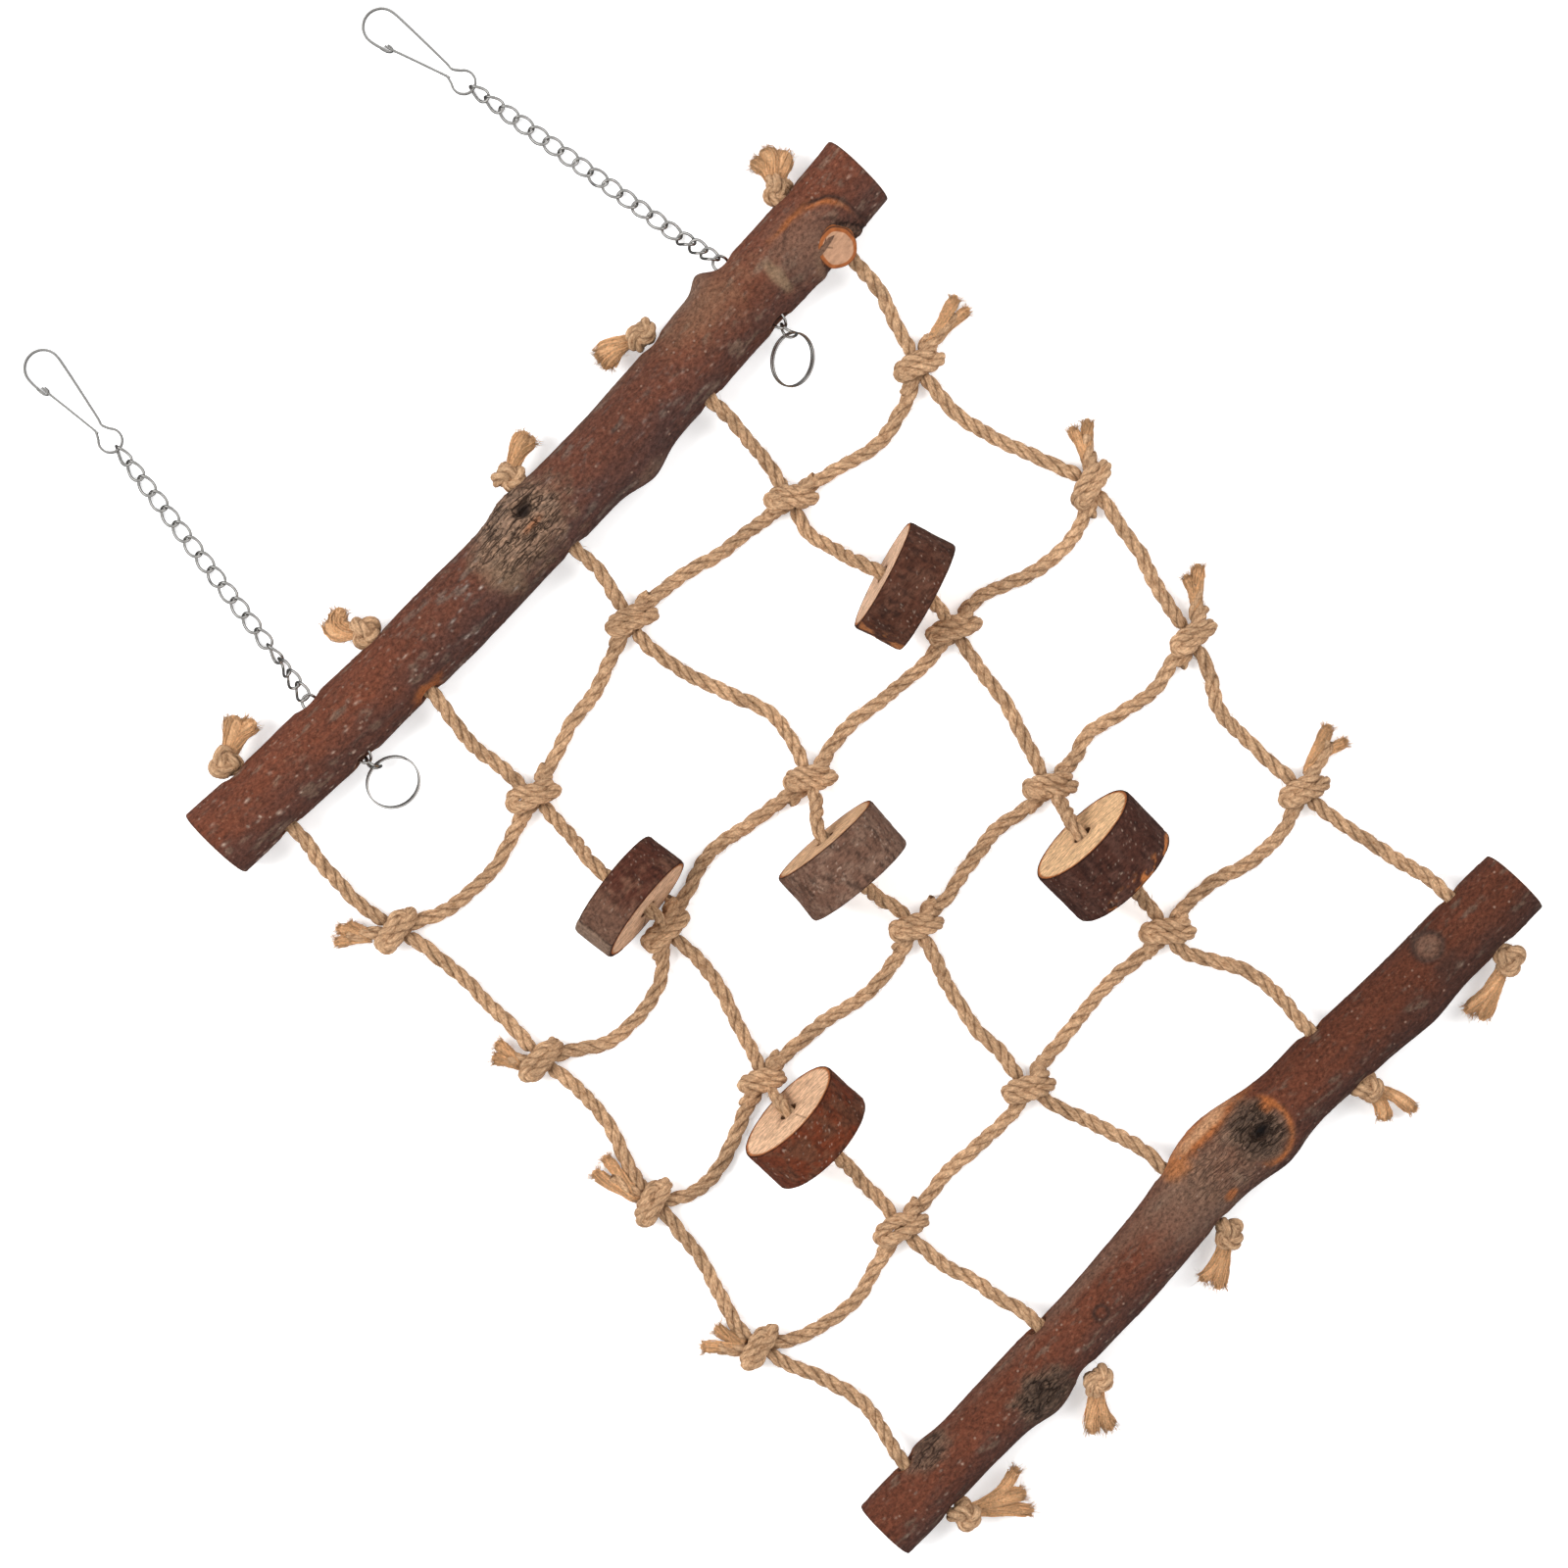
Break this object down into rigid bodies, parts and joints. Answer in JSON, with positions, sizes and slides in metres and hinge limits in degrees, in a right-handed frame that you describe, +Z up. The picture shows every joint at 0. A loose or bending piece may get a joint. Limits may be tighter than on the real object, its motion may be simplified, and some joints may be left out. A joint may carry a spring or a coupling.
{
  "type": "bird climbing net",
  "caption": "Hanging climbing net for cage birds: knotted jute mesh between bark-covered perches, wood slices on the ropes, chains with snap hooks.",
  "frame": {"origin": "middle of the object's outline, on the surface that it lies on", "axes": "+Y towards the hooks, along the ropes; +X along the perches; +Z up off the surface"},
  "size_m": [0.3031, 0.4846, 0.0425],
  "materials": {
    "bark": "natural bark, matte, with lenticels, cracks and knots",
    "jute": "three-strand twisted jute, hairy, matte",
    "cut_wood": "sawn end grain with bark left on the rim",
    "nickel": "bright nickel plate"
  },
  "bodies": {
    "upper_net": {"upper_perch": "bark", "long_rope_1_upper": "jute", "long_rope_2_upper": "jute", "long_rope_3_upper": "jute", "long_rope_4_upper": "jute", "long_rope_5_upper": "jute", "cross_rope_1": "jute", "cross_rope_2": "jute", "left_chain_inner": "nickel", "right_chain_inner": "nickel"},
    "middle_net": {"long_rope_1_middle": "jute", "long_rope_2_middle": "jute", "long_rope_3_middle": "jute", "long_rope_4_middle": "jute", "long_rope_5_middle": "jute", "cross_rope_3": "jute"},
    "lower_net": {"long_rope_1_lower": "jute", "long_rope_2_lower": "jute", "long_rope_3_lower": "jute", "long_rope_4_lower": "jute", "long_rope_5_lower": "jute", "cross_rope_4": "jute", "lower_perch": "bark"},
    "wood_slice_1": {"wood_slice_1": "cut_wood"},
    "wood_slice_2": {"wood_slice_2": "cut_wood"},
    "wood_slice_3": {"wood_slice_3": "cut_wood"},
    "wood_slice_4": {"wood_slice_4": "cut_wood"},
    "wood_slice_5": {"wood_slice_5": "cut_wood"},
    "left_chain_near": {"left_chain_near": "nickel"},
    "left_chain_far": {"left_chain_far": "nickel"},
    "left_snap_hook": {"left_snap_hook": "nickel"},
    "left_snap_hook_gate": {"left_snap_hook_gate": "nickel"},
    "left_split_ring": {"left_split_ring": "nickel"},
    "right_chain_near": {"right_chain_near": "nickel"},
    "right_chain_far": {"right_chain_far": "nickel"},
    "right_snap_hook": {"right_snap_hook": "nickel"},
    "right_snap_hook_gate": {"right_snap_hook_gate": "nickel"},
    "right_split_ring": {"right_split_ring": "nickel"}
  },
  "joints": [
    {"name": "net_fold_upper", "type": "hinge", "parent": "upper_net", "child": "middle_net", "pos_m": [0, -0.0295, 0.005], "axis": [1, 0, 0], "range_deg": [-60, 60]},
    {"name": "net_fold_lower", "type": "hinge", "parent": "middle_net", "child": "lower_net", "pos_m": [0, -0.086, 0.005], "axis": [1, 0, 0], "range_deg": [-60, 60]},
    {"name": "wood_slice_1_spin", "type": "hinge", "parent": "upper_net", "child": "wood_slice_1", "pos_m": [-0.0625, -0.0145, 0.01947], "axis": [-0.1035, 0.9848, -0.1392], "continuous": true},
    {"name": "wood_slice_2_spin", "type": "hinge", "parent": "upper_net", "child": "wood_slice_2", "pos_m": [0.067, -0.0095, 0.01953], "axis": [-0.2741, 0.956, 0.1045], "continuous": true},
    {"name": "wood_slice_3_spin", "type": "hinge", "parent": "middle_net", "child": "wood_slice_3", "pos_m": [-0.0085, -0.0548, 0.02001], "axis": [0.104, 0.9891, 0.1045], "continuous": true},
    {"name": "wood_slice_4_spin", "type": "hinge", "parent": "lower_net", "child": "wood_slice_4", "pos_m": [-0.077, -0.1042, 0.02039], "axis": [0, 0.9636, 0.2672], "continuous": true},
    {"name": "wood_slice_5_spin", "type": "hinge", "parent": "lower_net", "child": "wood_slice_5", "pos_m": [0.0487, -0.1127, 0.02128], "axis": [0.0169, 0.9701, 0.2419], "continuous": true},
    {"name": "left_chain_swing", "type": "hinge", "parent": "upper_net", "child": "left_chain_near", "pos_m": [-0.08849, 0.10326, 0.013], "axis": [0.988, -0.1547, 0], "range_deg": [-25, 70]},
    {"name": "left_chain_bend", "type": "hinge", "parent": "left_chain_near", "child": "left_chain_far", "pos_m": [-0.08138, 0.14798, 0.00285], "axis": [0.988, -0.1547, 0], "range_deg": [-60, 60]},
    {"name": "left_hook_swing", "type": "hinge", "parent": "left_chain_far", "child": "left_snap_hook", "pos_m": [-0.07312, 0.20074, 0.0024], "axis": [0.9984, -0.0558, 0], "range_deg": [-60, 60]},
    {"name": "left_gate_open", "type": "hinge", "parent": "left_snap_hook", "child": "left_snap_hook_gate", "pos_m": [-0.07402, 0.21055, 0.00201], "axis": [-0.0022, -0.0401, -0.9992], "range_deg": [0, 12], "stiffness_Nm_per_rad": 0.05},
    {"name": "left_ring_swing", "type": "hinge", "parent": "upper_net", "child": "left_split_ring", "pos_m": [-0.089, 0.07238, 0.00915], "axis": [1, 0, 0], "range_deg": [-25, 40]},
    {"name": "right_chain_swing", "type": "hinge", "parent": "upper_net", "child": "right_chain_near", "pos_m": [0.10051, 0.10506, 0.013], "axis": [0.9901, 0.14, 0], "range_deg": [-25, 70]},
    {"name": "right_chain_bend", "type": "hinge", "parent": "right_chain_near", "child": "right_chain_far", "pos_m": [0.09433, 0.14814, 0.00285], "axis": [0.9901, 0.14, 0], "range_deg": [-60, 60]},
    {"name": "right_hook_swing", "type": "hinge", "parent": "right_chain_far", "child": "right_snap_hook", "pos_m": [0.08722, 0.19839, 0.0024], "axis": [0.9863, 0.165, 0], "range_deg": [-60, 60]},
    {"name": "right_gate_open", "type": "hinge", "parent": "right_snap_hook", "child": "right_snap_hook_gate", "pos_m": [0.08418, 0.20776, 0.00201], "axis": [0.0066, -0.0396, -0.9992], "range_deg": [0, 12], "stiffness_Nm_per_rad": 0.05},
    {"name": "right_ring_swing", "type": "hinge", "parent": "upper_net", "child": "right_split_ring", "pos_m": [0.1, 0.07175, 0.0096], "axis": [1, 0, 0], "range_deg": [-25, 40]}
  ]
}
